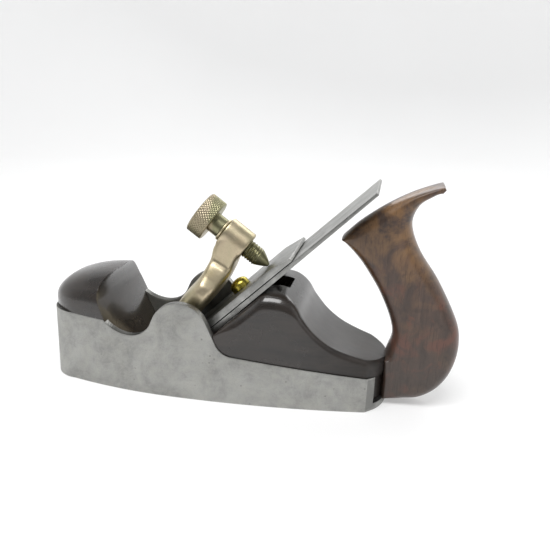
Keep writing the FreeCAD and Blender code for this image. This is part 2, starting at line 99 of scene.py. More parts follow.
class PlaneSizes(bpy.types.PropertyGroup):
    """Sizes of the visible pieces that the CAD model leaves plain."""
    casting_arris: length("Casting arris", "Width of the worn edge of the cast body", 0.45)
    iron_arris: length("Iron arris", "Width of the eased edges of the irons", 0.2)
    shoulder_round: length("Shoulder rounding", "Rounding of the rear wood beside the peak", 9.0)
    tail_round: length("Tail rounding", "Rounding of the rear wood towards the handle", 3.6)
    lip_round: length("Lip rounding", "Rounding of the sharp lip of the front wood", 0.5)
    handle_round: length("Handle rounding", "How far the handle's sides curve in", 7.5)
    knurl_depth: length("Knurl depth", "Depth of the diamond knurling on the knob", 0.42)
    knurl_count: IntProperty(name="Knurls", description="Diamonds around the knob",
                             default=46, min=8, max=120)
    thread_pitch: length("Thread pitch", "Distance between the screw's threads", 1.75)
    thread_depth: length("Thread depth", "Height of the screw's threads", 0.75)


class PlaneColours(bpy.types.PropertyGroup):
    """Base colours of the finishes."""
    casting: colour("Casting", "Worn grey cast body", (0.36, 0.36, 0.345))
    steel: colour("Steel", "Ground steel of the irons", (0.30, 0.30, 0.288))
    ebony: colour("Dark wood", "Polished dark infill", (0.016, 0.0135, 0.012))
    rosewood: colour("Red wood", "Polished handle", (0.072, 0.043, 0.031))
    bronze: colour("Bronze", "Aged lever cap and knob", (0.40, 0.345, 0.235))
    brass: colour("Brass", "Polished boss of the cap iron", (0.66, 0.56, 0.10))
    paper: colour("Floor", "Pale floor and backdrop", (0.62, 0.62, 0.62))


class PlaneStage(bpy.types.PropertyGroup):
    """Camera and light."""
    azimuth: turn("Azimuth", "Camera's turn from the side view towards the heel", 10.49)
    elevation: turn("Elevation", "Camera's height above the side view", 17.25)
    roll: turn("Roll", "Camera's tilt about its own axis", 2.48)
    distance: FloatProperty(name="Distance", description="From the camera to what it aims at",
                            default=0.4, subtype="DISTANCE", unit="LENGTH")
    lens: FloatProperty(name="Lens", description="Focal length on a 36 mm sensor",
                        default=40.25, min=1.0)
    sky: FloatProperty(name="Surround", description="Strength of the even light around",
                       default=0.38, min=0.0)
    glow: FloatProperty(name="Backdrop glow", description="Light that the backdrop gives off",
                        default=0.56, min=0.0)
    key: FloatProperty(name="Key light", description="Power of the overhead soft box",
                       default=9.0, min=0.0, subtype="POWER", unit="POWER")


def sizes():
    return bpy.context.scene.plane_sizes


def in_mm(name):
    """A size from the panel, in millimetres."""
    return getattr(sizes(), name) / MM


# --------------------------------------------------------------------- lines
def arc(centre, radius, start, end, steps):
    """Points on an arc about centre, from start to end in degrees."""
    points = []
    for step in range(steps + 1):
        angle = math.radians(start + (end - start) * step / steps)
        points.append((centre[0] + radius * math.cos(angle),
                       centre[1] + radius * math.sin(angle)))
    return points


def spline(points, steps):
    """A smooth open line through all the points."""
    line = [2 * Vector(points[0]) - Vector(points[1]), *map(Vector, points),
            2 * Vector(points[-1]) - Vector(points[-2])]
    smooth = []
    for i in range(1, len(line) - 2):
        before, start, end, after = line[i - 1:i + 3]
        for step in range(steps):
            t = step / steps
            smooth.append(0.5 * (2 * start + (end - before) * t
                                 + (2 * before - 5 * start + 4 * end - after) * t * t
                                 + (3 * start - before - 3 * end + after) * t ** 3))
    return [tuple(point) for point in smooth] + [tuple(points[-1])]


def value_at(line, x):
    """The height of a line of (x, z) points at x."""
    for (x0, z0), (x1, z1) in zip(line, line[1:]):
        if x0 <= x <= x1:
            return z0 + (z1 - z0) * (x - x0) / max(x1 - x0, 1e-9)
    return line[0][1] if x < line[0][0] else line[-1][1]


def spread(start, end, count):
    return [start + (end - start) * i / (count - 1) for i in range(count)]


def about_z(radius, part, height):
    """The point at a radius from the Z axis, a part of a turn round it and a height."""
    angle = 2 * math.pi * part
    return (radius * math.cos(angle), radius * math.sin(angle), height)


def ease(value, low, high):
    """0 below low, 1 above high and a smooth step between."""
    t = min(max((value - low) / (high - low), 0.0), 1.0)
    return t * t * (3 - 2 * t)


# -------------------------------------------------------------------- meshes
def new_object(name, vertices, faces):
    """A mesh object from vertices in millimetres."""
    mesh = bpy.data.meshes.new(name)
    mesh.from_pydata([Vector(vertex) * MM for vertex in vertices], [], faces)
    mesh.validate()
    piece = bpy.data.objects.new(name, mesh)
    bpy.context.scene.collection.objects.link(piece)
    return piece


def loft(name, sections, ring=False):
    """A skin over sections that have one number of points each, closed at both ends.

    With ring, the last section joins the first and there are no ends."""
    count = len(sections[0])
    vertices = [point for section in sections for point in section]
    faces = []
    spans = len(sections) if ring else len(sections) - 1
    for i in range(spans):
        here = i * count
        there = (i + 1) % len(sections) * count
        for j in range(count):
            k = (j + 1) % count
            faces.append((here + j, here + k, there + k, there + j))
    if not ring:
        faces.append(tuple(reversed(range(count))))
        faces.append(tuple(range(len(vertices) - count, len(vertices))))
    piece = new_object(name, vertices, faces)
    tidy_mesh(piece)
    return piece


def lathe(name, outline, steps):
    """A solid turned about Z from an outline of (radius, height) points."""
    return loft(name, [[about_z(radius, i / steps, height) for i in range(steps)]
                       for radius, height in outline])


def prism(name, outline, half):
    """An outline in the XZ plane, drawn out along Y to both sides."""
    near = [(x, -half, z) for x, z in outline]
    far = [(x, half, z) for x, z in outline]
    return loft(name, [near, far])


def tidy_mesh(piece):
    """Merge points that coincide and turn all faces outwards."""
    nearest = 0.0005 * MM
    mesh = bmesh.new()
    mesh.from_mesh(piece.data)
    bmesh.ops.remove_doubles(mesh, verts=mesh.verts, dist=nearest)
    bmesh.ops.dissolve_degenerate(mesh, edges=mesh.edges, dist=nearest)
    bmesh.ops.recalc_face_normals(mesh, faces=mesh.faces)
    mesh.to_mesh(piece.data)
    mesh.free()


def apply_modifiers(piece):
    """Replace the mesh by what its modifiers make of it."""
    bpy.context.view_layer.update()
    seen = piece.evaluated_get(bpy.context.evaluated_depsgraph_get())
    mesh = bpy.data.meshes.new_from_object(seen)
    piece.modifiers.clear()
    piece.data = mesh


def combine(piece, tool, operation):
    """Join, cut or intersect a piece with a tool, and remove the tool."""
    modifier = piece.modifiers.new(operation.lower(), "BOOLEAN")
    modifier.operation = operation
    modifier.solver = "EXACT"
    modifier.object = tool
    apply_modifiers(piece)
    bpy.data.objects.remove(tool)
    if len(piece.data.polygons) < 6:
        raise RuntimeError(f"{piece.name}: the {operation.lower()} left nothing")


def round_edges(piece, width_mm, segments, degrees=32):
    """Round the edges that are sharper than an angle."""
    modifier = piece.modifiers.new("round", "BEVEL")
    modifier.width = width_mm * MM
    modifier.segments = segments
    modifier.limit_method = "ANGLE"
    modifier.angle_limit = math.radians(degrees)
    modifier.harden_normals = False
    modifier.use_clamp_overlap = True
    apply_modifiers(piece)


def remesh(piece, voxel_mm, relax):
    """An even skin over joined solids, with softened inner corners."""
    modifier = piece.modifiers.new("skin", "REMESH")
    modifier.mode = "VOXEL"
    modifier.voxel_size = voxel_mm * MM
    smooth = piece.modifiers.new("relax", "SMOOTH")
    smooth.factor = 0.5
    smooth.iterations = relax
    apply_modifiers(piece)


def smooth_shade(piece, degrees=32):
    piece.data.shade_smooth()
    piece.data.set_sharp_from_angle(angle=math.radians(degrees))


def copy_of(node, name):
    """A new mesh with the outline of a CAD node, its flat faces whole again."""
    piece = bpy.data.objects.new(name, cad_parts[node].data.copy())
    bpy.context.scene.collection.objects.link(piece)
    mesh = bmesh.new()
    mesh.from_mesh(piece.data)
    bmesh.ops.remove_doubles(mesh, verts=mesh.verts, dist=0.001 * MM)
    bmesh.ops.dissolve_limit(mesh, angle_limit=math.radians(0.4), verts=mesh.verts,
                             edges=mesh.edges)
    mesh.to_mesh(piece.data)
    mesh.free()
    return piece


def fit(piece, node, finish, body="root"):
    """Let a finished piece stand for a CAD node."""
    piece.data.materials.clear()
    piece.data.materials.append(finish)
    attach(piece, body)
    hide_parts(node)


# ------------------------------------------------------------------ finishes
class Finish:
    """A material's nodes, with a short call for each kind that the finishes use."""

    def __init__(self, name, **sockets):
        self.material = bpy.data.materials.new(name)
        self.material.use_nodes = True
        self.nodes = self.material.node_tree.nodes
        self.links = self.material.node_tree.links
        self.shader = self.nodes["Principled BSDF"]
        self.place = self.nodes.new("ShaderNodeTexCoord").outputs["Object"]
        for socket, value in sockets.items():
            self.shader.inputs[socket.replace("_", " ")].default_value = value

    def mapped(self, scale, degrees=(0, 0, 0)):
        """The place on the piece, turned and then stretched."""
        node = self.nodes.new("ShaderNodeMapping")
        node.vector_type = "POINT"
        node.inputs["Scale"].default_value = scale
        node.inputs["Rotation"].default_value = [math.radians(angle) for angle in degrees]
        self.links.new(self.place, node.inputs["Vector"])
        return node.outputs["Vector"]

    def noise(self, per_metre, detail=4, rough=0.55, warp=0.0, place=None):
        node = self.nodes.new("ShaderNodeTexNoise")
        node.inputs["Scale"].default_value = per_metre
        node.inputs["Detail"].default_value = detail
        node.inputs["Roughness"].default_value = rough
        node.inputs["Distortion"].default_value = warp
        self.links.new(place or self.place, node.inputs["Vector"])
        return node.outputs["Fac"]

    def cells(self, per_metre):
        """Distance to the nearest of scattered points, for pits."""
        node = self.nodes.new("ShaderNodeTexVoronoi")
        node.inputs["Scale"].default_value = per_metre
        self.links.new(self.place, node.inputs["Vector"])
        return node.outputs["Distance"]

    def wave(self, per_metre, warp, place):
        """Soft parallel bands, for the lines of wood."""
        node = self.nodes.new("ShaderNodeTexWave")
        node.bands_direction = "X"
        node.inputs["Scale"].default_value = per_metre
        node.inputs["Distortion"].default_value = warp
        node.inputs["Detail"].default_value = 3.0
        node.inputs["Detail Scale"].default_value = 1.4
        self.links.new(place, node.inputs["Vector"])
        return node.outputs["Fac"]

    def axis(self, letter, low_mm, high_mm):
        """0 to 1 along an axis of the piece, between two places."""
        node = self.nodes.new("ShaderNodeSeparateXYZ")
        self.links.new(self.place, node.inputs["Vector"])
        return self.ramp(node.outputs[letter], low_mm * MM, high_mm * MM)

    def facing_up(self):
        """1 on level tops and on nothing steeper than 45 degrees."""
        shape = self.nodes.new("ShaderNodeNewGeometry")
        node = self.nodes.new("ShaderNodeSeparateXYZ")
        self.links.new(shape.outputs["True Normal"], node.inputs["Vector"])
        return self.ramp(node.outputs["Z"], 0.70, 0.90)

    def ridges(self):
        """High on the outward edges of the mesh and low in its corners."""
        return self.nodes.new("ShaderNodeNewGeometry").outputs["Pointiness"]

    def ramp(self, source, low, high, start=0.0, end=1.0):
        """Map low to high onto start to end, held at both ends."""
        node = self.nodes.new("ShaderNodeMapRange")
        node.clamp = True
        node.inputs["From Min"].default_value = low
        node.inputs["From Max"].default_value = high
        node.inputs["To Min"].default_value = start
        node.inputs["To Max"].default_value = end
        self.links.new(source, node.inputs["Value"])
        return node.outputs["Result"]

    def join(self, kind, first, second):
        node = self.nodes.new("ShaderNodeMath")
        node.operation = kind
        for value, socket in zip((first, second), node.inputs):
            if isinstance(value, (int, float)):
                socket.default_value = value
            else:
                self.links.new(value, socket)
        return node.outputs["Value"]

    def mix(self, amount, first, second, blend="MIX"):
        """Mix two colours; each is a colour value or another mix."""
        node = self.nodes.new("ShaderNodeMix")
        node.data_type = "RGBA"
        node.blend_type = blend
        self.links.new(amount, node.inputs["Factor"])
        for value, socket in ((first, node.inputs[6]), (second, node.inputs[7])):
            if isinstance(value, bpy.types.NodeSocket):
                self.links.new(value, socket)
            else:
                socket.default_value = (*value, 1.0)
        return node.outputs[2]

    def bump(self, height, depth_mm, strength):
        """Raise the surface by a height, on top of any earlier bump."""
        node = self.nodes.new("ShaderNodeBump")
        node.inputs["Distance"].default_value = depth_mm * MM
        node.inputs["Strength"].default_value = strength
        self.links.new(height, node.inputs["Height"])
        earlier = self.shader.inputs["Normal"].links
        if earlier:
            self.links.new(earlier[0].from_socket, node.inputs["Normal"])
        self.links.new(node.outputs["Normal"], self.shader.inputs["Normal"])

    def paint(self, colour_socket, rough_socket):
        self.links.new(colour_socket, self.shader.inputs["Base Color"])
        self.links.new(rough_socket, self.shader.inputs["Roughness"])
        return self.material


def shade(base, factor, tint=(1, 1, 1)):
    """A lighter or darker version of a base colour."""
    return tuple(min(max(channel * factor * part, 0.0), 1.0) for channel, part in zip(base, tint))


def casting_finish():
    """Worn cast iron: cloudy grey, a few pits, faint scratches, edges lighter from wear and a
    painted highlight, and painted shade on level tops and the heel end.
    """
    base = bpy.context.scene.plane_colours.casting
    f = Finish("cast_iron_worn", Metallic=1.0)
    clouds = f.noise(38, detail=6, rough=0.66, warp=0.9)
    blotches = f.noise(130, detail=5, rough=0.7, warp=0.4)
    grain = f.noise(1400, detail=3, rough=0.6)
    pits = f.ramp(f.cells(210), 0.05, 0.16)
    few = f.ramp(f.noise(70, detail=2), 0.52, 0.60)
    pitted = f.join("MAXIMUM", pits, f.join("SUBTRACT", 1.0, few))
    colour = f.mix(f.ramp(clouds, 0.34, 0.66), shade(base, 0.74), shade(base, 1.16))
    colour = f.mix(f.ramp(blotches, 0.42, 0.68, 0.0, 0.6), colour,
                   shade(base, 1.32, (1.01, 1, 0.97)))
    colour = f.mix(f.ramp(blotches, 0.28, 0.42, 0.5, 0.0), colour, shade(base, 0.66))
    colour = f.mix(f.ramp(grain, 0.30, 0.50, 0.3, 0.0), colour, shade(base, 0.7))
    colour = f.mix(f.ramp(pitted, 0.0, 1.0, 0.6, 0.0), colour, shade(base, 0.45))
    # painted shade: the level tops of the casting are painted darker
    colour = f.mix(f.facing_up(), colour, shade(base, 0.5), "MULTIPLY")
    # painted shade: the heel end face is painted darker
    colour = f.mix(f.join("MULTIPLY", f.axis("X", 138.1, 138.4), 0.75), colour, shade(base, 0.55))
    # edges lighter: partly real wear, partly a painted highlight along the arrises
    worn = f.ramp(f.ridges(), 0.53, 0.60)
    colour = f.mix(worn, colour, shade(base, 1.9))
    scratches = f.noise(900, detail=2, place=f.mapped(scale=(0.06, 1, 1), degrees=(0, 8, 0)))
    rough = f.ramp(f.join("ADD", blotches, f.join("MULTIPLY", scratches, 0.5)), 0.5, 1.0,
                   0.40, 0.58)
    rough = f.join("SUBTRACT", rough, f.join("MULTIPLY", worn, 0.12))
    f.bump(scratches, 0.02, 0.35)
    f.bump(grain, 0.03, 0.5)
    f.bump(pitted, 0.08, 0.6)
    return f.paint(colour, rough)


def steel_finish():
    """Ground steel: fine lengthwise scratches, dark specks and soft stains."""
    base = bpy.context.scene.plane_colours.steel
    f = Finish("ground_steel", Metallic=1.0)
    along = f.mapped(scale=(0.05, 1, 0.05), degrees=(0, 44, 0))
    lines = f.noise(1100, detail=4, rough=0.75, place=along)
    stains = f.noise(75, detail=6, rough=0.65, warp=0.9)
    specks = f.ramp(f.cells(520), 0.09, 0.2)
    few = f.ramp(f.noise(160, detail=2), 0.5, 0.6)
    specks = f.join("MAXIMUM", specks, f.join("SUBTRACT", 1.0, few))
    colour = f.mix(f.ramp(lines, 0.34, 0.66), shade(base, 0.68), shade(base, 1.30))
    colour = f.mix(f.ramp(stains, 0.42, 0.66, 0.0, 0.65), colour, shade(base, 0.60))
    colour = f.mix(f.ramp(specks, 0.0, 1.0, 0.7, 0.0), colour, shade(base, 0.35))
    colour = f.mix(f.ramp(f.ridges(), 0.54, 0.62), colour, shade(base, 1.7))
    rough = f.ramp(stains, 0.3, 0.7, 0.32, 0.50)
    f.bump(lines, 0.03, 0.7)
    f.bump(specks, 0.05, 0.6)
    return f.paint(colour, rough)


def ebony_finish(name, dull_low, dull_high):
    """Dark close-grained wood under an old polish that has worn dull past a place along X."""
    base = bpy.context.scene.plane_colours.ebony
    f = Finish(name, IOR=1.5, Coat_Roughness=0.07, Coat_IOR=1.5)
    grain = f.noise(230, detail=5, rough=0.65, warp=0.3, place=f.mapped(scale=(0.12, 1, 1)))
    pores = f.noise(1700, detail=2, place=f.mapped(scale=(0.07, 1, 1)))
    clouds = f.noise(35, detail=3)
    dull = f.axis("X", dull_low, dull_high)
    colour = f.mix(f.ramp(grain, 0.34, 0.68), shade(base, 0.65), shade(base, 1.5, (1.1, 1, 0.92)))
    colour = f.mix(f.ramp(clouds, 0.42, 0.66, 0.0, 0.45), colour,
                   shade(base, 2.0, (1.12, 0.97, 0.86)))
    rough = f.join("ADD", f.ramp(clouds, 0.3, 0.7, 0.22, 0.34), f.join("MULTIPLY", dull, 0.2))
    f.links.new(f.join("MULTIPLY", f.join("SUBTRACT", 1.0, dull), 0.5),
                f.shader.inputs["Coat Weight"])
    f.bump(grain, 0.02, 0.3)
    f.bump(pores, 0.015, 0.4)
    return f.paint(colour, rough)


def rosewood_finish():
    """Red-brown wood, worn to orange patches in the middle and grey-brown lower down."""
    base = bpy.context.scene.plane_colours.rosewood
    f = Finish("polished_rosewood", IOR=1.5, Coat_Weight=0.3, Coat_Roughness=0.22,
               Coat_IOR=1.5)
    along = f.mapped(scale=(1, 1, 0.3), degrees=(0, 20, 0))
    figure = f.noise(120, detail=6, rough=0.65, warp=1.2, place=along)
    lines = f.wave(30, 7.0, place=f.mapped(scale=(1, 0.6, 0.2), degrees=(0, 20, 0)))
    patches = f.noise(36, detail=5, rough=0.6, warp=1.0)
    stains = f.noise(75, detail=5, rough=0.6, warp=0.8)
    pores = f.noise(1500, detail=2, place=f.mapped(scale=(1, 1, 0.08), degrees=(0, 20, 0)))
    high = f.axis("Z", 60, 95)
    low = f.axis("Z", 52, 20)
    colour = f.mix(f.ramp(figure, 0.32, 0.68), shade(base, 0.60), shade(base, 1.35))
    colour = f.mix(f.ramp(lines, 0.25, 0.85, 0.0, 0.30), colour, shade(base, 0.45))
    olive = f.join("MULTIPLY", f.ramp(patches, 0.44, 0.62), f.join("ADD", 0.25, high))
    colour = f.mix(olive, colour, shade(base, 2.5, (1.08, 0.98, 0.6)))
    red = f.join("MULTIPLY", f.ramp(stains, 0.50, 0.66, 0.0, 0.7), f.join("SUBTRACT", 1.0, high))
    colour = f.mix(red, colour, shade(base, 1.7, (1.25, 0.72, 0.6)))
    colour = f.mix(f.join("MULTIPLY", low, 0.55), colour, shade(base, 1.0, (0.85, 1.12, 1.3)))
    colour = f.mix(f.ramp(stains, 0.28, 0.42, 0.6, 0.0), colour, shade(base, 0.35))
    colour = f.mix(f.ramp(pores, 0.30, 0.46, 0.45, 0.0), colour, shade(base, 0.32))
    rough = f.ramp(figure, 0.3, 0.7, 0.30, 0.46)
    f.bump(figure, 0.04, 0.3)
    f.bump(pores, 0.03, 0.5)
    return f.paint(colour, rough)


def bronze_finish(name, light=1.0, dark_past=None):
    """Aged bronze: faint grey-green and pink smudges over a soft metal sheen.

    It is darker and more olive past a place along X."""
    base = shade(bpy.context.scene.plane_colours.bronze, light)
    f = Finish(name, Metallic=1.0)
    smudges = f.noise(48, detail=5, rough=0.55, warp=0.6)
    stains = f.noise(190, detail=4, rough=0.6)
    fine = f.noise(1300, detail=3, rough=0.6)
    colour = f.mix(f.ramp(smudges, 0.36, 0.66), shade(base, 0.86, (0.98, 1.02, 0.96)),
                   shade(base, 1.12, (1.02, 0.99, 1.06)))
    colour = f.mix(f.ramp(stains, 0.52, 0.76, 0.0, 0.4), colour,
                   shade(base, 0.70, (1.06, 0.92, 0.9)))
    colour = f.mix(f.ramp(fine, 0.28, 0.5, 0.25, 0.0), colour, shade(base, 0.55))
    colour = f.mix(f.ramp(f.ridges(), 0.53, 0.62, 0.0, 0.8), colour, shade(base, 1.5))
    colour = f.mix(f.ramp(f.ridges(), 0.38, 0.47, 0.7, 0.0), colour, shade(base, 0.35))
    if dark_past is not None:
        colour = f.mix(f.axis("X", dark_past - 1, dark_past + 1), colour,
                       shade(base, 0.78, (0.92, 1.02, 0.9)))
    rough = f.ramp(stains, 0.3, 0.7, 0.32, 0.46)
    f.bump(fine, 0.02, 0.4)
    f.bump(stains, 0.02, 0.25)
    return f.paint(colour, rough)


def brass_finish():
    """Yellow brass with faint turning marks, tarnished olive round its rim."""
    base = bpy.context.scene.plane_colours.brass
    f = Finish("yellow_brass", Metallic=1.0)
    marks = f.noise(700, detail=3)
    tarnish = f.noise(260, detail=4, warp=0.5)
    colour = f.mix(f.ramp(tarnish, 0.42, 0.68), shade(base, 1.08), shade(base, 0.60, (1, 0.97, 1)))
    rim = f.axis("X", 54.0, 58.5)
    colour = f.mix(f.join("MULTIPLY", rim, 0.7), colour, shade(base, 0.34, (1, 0.98, 1.2)))
    rough = f.ramp(marks, 0.3, 0.7, 0.22, 0.36)
    f.bump(marks, 0.015, 0.5)
    return f.paint(colour, rough)


def paper_finish():
    """Pale floor and wall with a barely visible tooth, darker behind the camera."""
    base = bpy.context.scene.plane_colours.paper
    f = Finish("pale_paper")
    tooth = f.noise(900, detail=3)
    tint = f.noise(3, detail=2)
    colour = f.mix(f.ramp(tint, 0.3, 0.7), shade(base, 0.99), shade(base, 1.01))
    lit = f.axis("Y", -1300, -350)
    colour = f.mix(lit, shade(base, 0.25), colour)
    f.links.new(colour, f.shader.inputs["Emission Color"])
    f.shader.inputs["Emission Strength"].default_value = bpy.context.scene.plane_stage.glow
    rough = f.ramp(tooth, 0.3, 0.7, 0.80, 0.92)
    f.bump(tooth, 0.02, 0.3)
    return f.paint(colour, rough)


# --------------------------------------------------------------- coffin plan
WIDEST = 18.0
FORE_RADIUS = 273.0
AFT_RADIUS = 606.0
WALL = 4.5
SOLE = 4.0
WOOD_INSET = 1.0
TOE = low_mm("body_casting").x
HALF = high_mm("body_casting").y
HEEL = 138.0
TOE_SIDE = 57.5
TOE_RADIUS = 67.5
TOE_ROUND = 14.0
HEEL_RADIUS = 31.5


def half_width(x):
    """Half the width of the cast body at x."""
    radius = FORE_RADIUS if x < WIDEST else AFT_RADIUS
    return HALF - radius + math.sqrt(radius * radius - (x - WIDEST) ** 2)


def toe_width(x, inset):
    """Half the width of the toe at x, with its curved front and rounded corners."""
    wide = half_width(x) - inset
    front = TOE + inset
    bulge = TOE_RADIUS - math.sqrt(max(TOE_RADIUS ** 2 - wide * wide, 0.0))
    corner = TOE_ROUND - inset
    reach = x - front
    if reach >= bulge + corner:
        return wide
    # the corner: a quarter round between the curved front and the side
    across = wide - corner
    start = TOE_RADIUS - math.sqrt(TOE_RADIUS ** 2 - across * across)
    if reach <= start:
        return math.sqrt(max(2 * TOE_RADIUS * reach - reach * reach, 0.0))
    t = min((reach - start) / (bulge + corner - start), 1.0)
    return across + corner * math.sqrt(max(1 - (1 - t) ** 2, 0.0))


BED_FOOT = 5.73
THROAT = 3.4

# the top edge of the side walls
TOE_HIGH = 44.8
SHOULDER = (-21.3, 43.5)
SCOOP = (-4.5, 60.5)
SCOOP_RADIUS = 24.0
DIP = (-4.5, 52.0)
DIP_RADIUS = 15.5
HUMP = (27.2, 42.6)
HUMP_RADIUS = 17.5
HOLLOW = (60.12, 41.64)
HOLLOW_RADIUS = 12.0
TAIL_START = (58.9, 29.7)
TAIL = (HEEL, 21.6)


def wall_line():
    """The top edge of a side wall as a line of (x, z) points."""
    start = math.degrees(math.atan2(SHOULDER[1] - SCOOP[1], SHOULDER[0] - SCOOP[0]))
    meet = math.degrees(math.atan2(HUMP[1] - DIP[1], HUMP[0] - DIP[0]))
    line = [(TOE, TOE_HIGH)]
    line += arc(SCOOP, SCOOP_RADIUS, start, -90, 12)
    line += arc(DIP, DIP_RADIUS, -90, meet, 14)[1:]
    line += arc(HUMP, HUMP_RADIUS, 180 + meet, 25, 24)[1:]
    line += arc(HOLLOW, HOLLOW_RADIUS, 205, 264.15, 10)
    slope = (TAIL[1] - TAIL_START[1]) / (TAIL[0] - TAIL_START[0])
    line.append((TAIL[0] + 20, TAIL[1] + 20 * slope))
    return line


def half_plan(inset, heel_x):
    """One side of the coffin outline, drawn inwards by inset, from the toe to heel_x."""
    front = TOE + inset
    wide = half_width(-TOE_SIDE) - inset
    corner = TOE_ROUND - inset
    across = wide - corner
    start = TOE_RADIUS - math.sqrt(TOE_RADIUS ** 2 - across * across)
    bulge = TOE_RADIUS - math.sqrt(TOE_RADIUS ** 2 - wide * wide)
    deep = bulge + corner - start
    line = [(front + TOE_RADIUS - math.sqrt(TOE_RADIUS ** 2 - y * y), y)
            for y in spread(0.0, across, 8)]
    side_x = front + start + deep
    full = half_width(side_x) - inset
    for angle in spread(0, math.pi / 2, 10)[1:]:
        line.append((front + start + deep * (1 - math.cos(angle)),
                     across + (full - across) * math.sin(angle)))
    line += [(x, half_width(x) - inset) for x in spread(side_x, heel_x, 132)[1:]]
    return line


# -------------------------------------------------------------------- pieces
def wood_section(x, wide, inset, wall_top, crest, rounding, power, steps=9):
    """A slice of an infill across the plane: narrow between the walls, wide above them.

    The wide part stands inset in from the outer face of the walls. Its top is an arch of
    the given power: rounding holds how far the arch reaches in and how far down.
    """
    gap = 0.05
    least = 0.2
    floor = SOLE + gap
    inner = max(wide + inset - WALL - gap, least)
    step_z = min(wall_top + 0.03, crest - 0.02)
    outer = max(wide, least) if crest > wall_top + 0.3 else inner
    base = max(crest - rounding[1], step_z)
    run = min(rounding[0], outer)
    side = []
    for i in range(steps + 1):
        angle = math.pi / 2 * i / steps
        side.append((outer - run + run * math.cos(angle) ** (2 / power),
                     base + (crest - base) * math.sin(angle) ** (2 / power)))
    left = [(-inner, floor), (-inner, step_z), (-outer, step_z)]
    left += [(-y, z) for y, z in side]
    right = [(-y, z) for y, z in reversed(left)]
    return [(x, y, z) for y, z in left + right]


def front_wood(name):
    """The bun: an arched block with a thumb scoop cut across it and a sloping back."""
    crest_centre = (-24.0, -7.0)
    crest_radius = 75.5
    arch_low = 49.0
    toe_ease = 11.0
    inset = 0.1
    front = TOE + inset
    walls = wall_line()
    stations = [front + 0.02 + 24 * t * t for t in spread(0, 1, 30)]
    stations += spread(stations[-1] + 1.2, -2.0, 30)
    sections = []
    for x in stations:
        wide = toe_width(x, inset)
        crest = crest_centre[1] + math.sqrt(crest_radius ** 2 - (x - crest_centre[0]) ** 2)
        start = min((x - front) / toe_ease, 1.0)
        crest = arch_low + 4 + (crest - arch_low - 4) * math.sqrt(1 - (1 - start) ** 2)
        sections.append(wood_section(x, wide, inset, value_at(walls, x), crest,
                                     (wide, crest - arch_low), 2.5, steps=22))
    bun = loft(name, sections)
    # the scoop's arc is tangent to the straight throat, which leans down to the mouth
    scoop_x, scoop_high, lean, lip = -26.3, 60.5, 23.6, 12.0
    sine, cosine = math.sin(math.radians(lean)), math.cos(math.radians(lean))
    radius = ((scoop_high - SOLE) * sine + (scoop_x + THROAT) * cosine) / (1 - cosine)
    tool = [(60, 100), (-12, 100)]
    tool += arc((scoop_x + lip, scoop_high), lip, 118, 180, 10)
    tool += arc((scoop_x + radius, scoop_high), radius, 180, 180 + lean, 10)[1:]
    tool += [(-THROAT, SOLE), (-THROAT, -5), (60, -5)]
    combine(bun, prism("scoop_tool", tool, 60), "DIFFERENCE")
    round_edges(bun, in_mm("lip_round"), 3)
    smooth_shade(bun)
    fit(bun, "front_infill", ebony_finish("bun_wood", 90.0, 130.0))


def rear_wood(name):
    """The rear infill: bed, peak and a long hollow fall to the handle."""
    peak = 69.0
    fall = spline([(80.5, peak), (86.2, 68.2), (91.2, 65.3), (95.2, 61.0), (99.2, 54.4),
                   (105.9, 46.6), (112.9, 41.1), (119.8, 37.4), (129.7, 33.9),
                   (142.7, 30.6), (155, 28.4)], 6)
    crest_line = [(BED_FOOT + SOLE, SOLE + 0.1), (BED_FOOT + peak - 2.5, peak - 2.5),
                  (BED_FOOT + peak - 0.9, peak - 1.3), (BED_FOOT + peak + 1.5, peak - 0.3)]
    crest_line += fall
    walls = wall_line()
    heel_centre = HEEL - math.sqrt(HEEL_RADIUS ** 2 - 24.2 ** 2)
    end_radius = HEEL_RADIUS - 1.7
    stations = spread(BED_FOOT + 4.2, 46.6, 12) + [47.1, 47.5, 49, 52, 56, 60, 64, 68, 71]
    stations += spread(72.4, 136.5, 84)
    sections = []
    for x in stations:
        crest = value_at(crest_line, x)
        near_peak = ease(x, 46, 66) * (1 - ease(x, 84, 104))
        radius = in_mm("tail_round") + (in_mm("shoulder_round") - in_mm("tail_round")) * near_peak
        radius *= 0.15 + 0.85 * ease(x, 44, 60)
        wide = half_width(x) - WOOD_INSET
        sections.append(wood_section(x, wide, WOOD_INSET, value_at(walls, x), crest,
                                     (radius, radius), 2.0))
    side = half_width(136.5) - WOOD_INSET
    start = math.degrees(math.asin(min(side / end_radius, 1.0)))
    for angle in spread(start, 0.6, 26)[1:]:
        x = heel_centre + end_radius * math.cos(math.radians(angle)) + 0.6
        wide = end_radius * math.sin(math.radians(angle))
        crest = value_at(crest_line, x)
        radius = in_mm("tail_round")
        sections.append(wood_section(max(x, 136.6), wide, WOOD_INSET, value_at(walls, x), crest,
                                     (radius, radius), 2.0))
    rear = loft(name, sections)
    groove = prism("groove_tool", [(-1, -10), (60, -10), (60, 9), (-1, 9)], 9.5)
    foot = Vector((BED_FOOT + 64 * math.cos(math.pi / 4), 0, 64 * math.sin(math.pi / 4))) * MM
    groove.data.transform(Matrix.Translation(foot) @ Matrix.Rotation(-math.pi / 4, 4, "Y"))
    combine(rear, groove, "DIFFERENCE")
    smooth_shade(rear)
    fit(rear, "rear_infill", ebony_finish("rear_dark_wood", 95.0, 135.0))


def inscribed(points, i, inward):
    """Radius of the largest circle inside a closed outline that touches it at point i."""
    here = points[i]
    best = 1e9
    for j, other in enumerate(points):
        away = other - here
        depth = away.dot(inward)
        if j != i and depth > 1e-6:
            best = min(best, away.length_squared / (2 * depth))
    return best


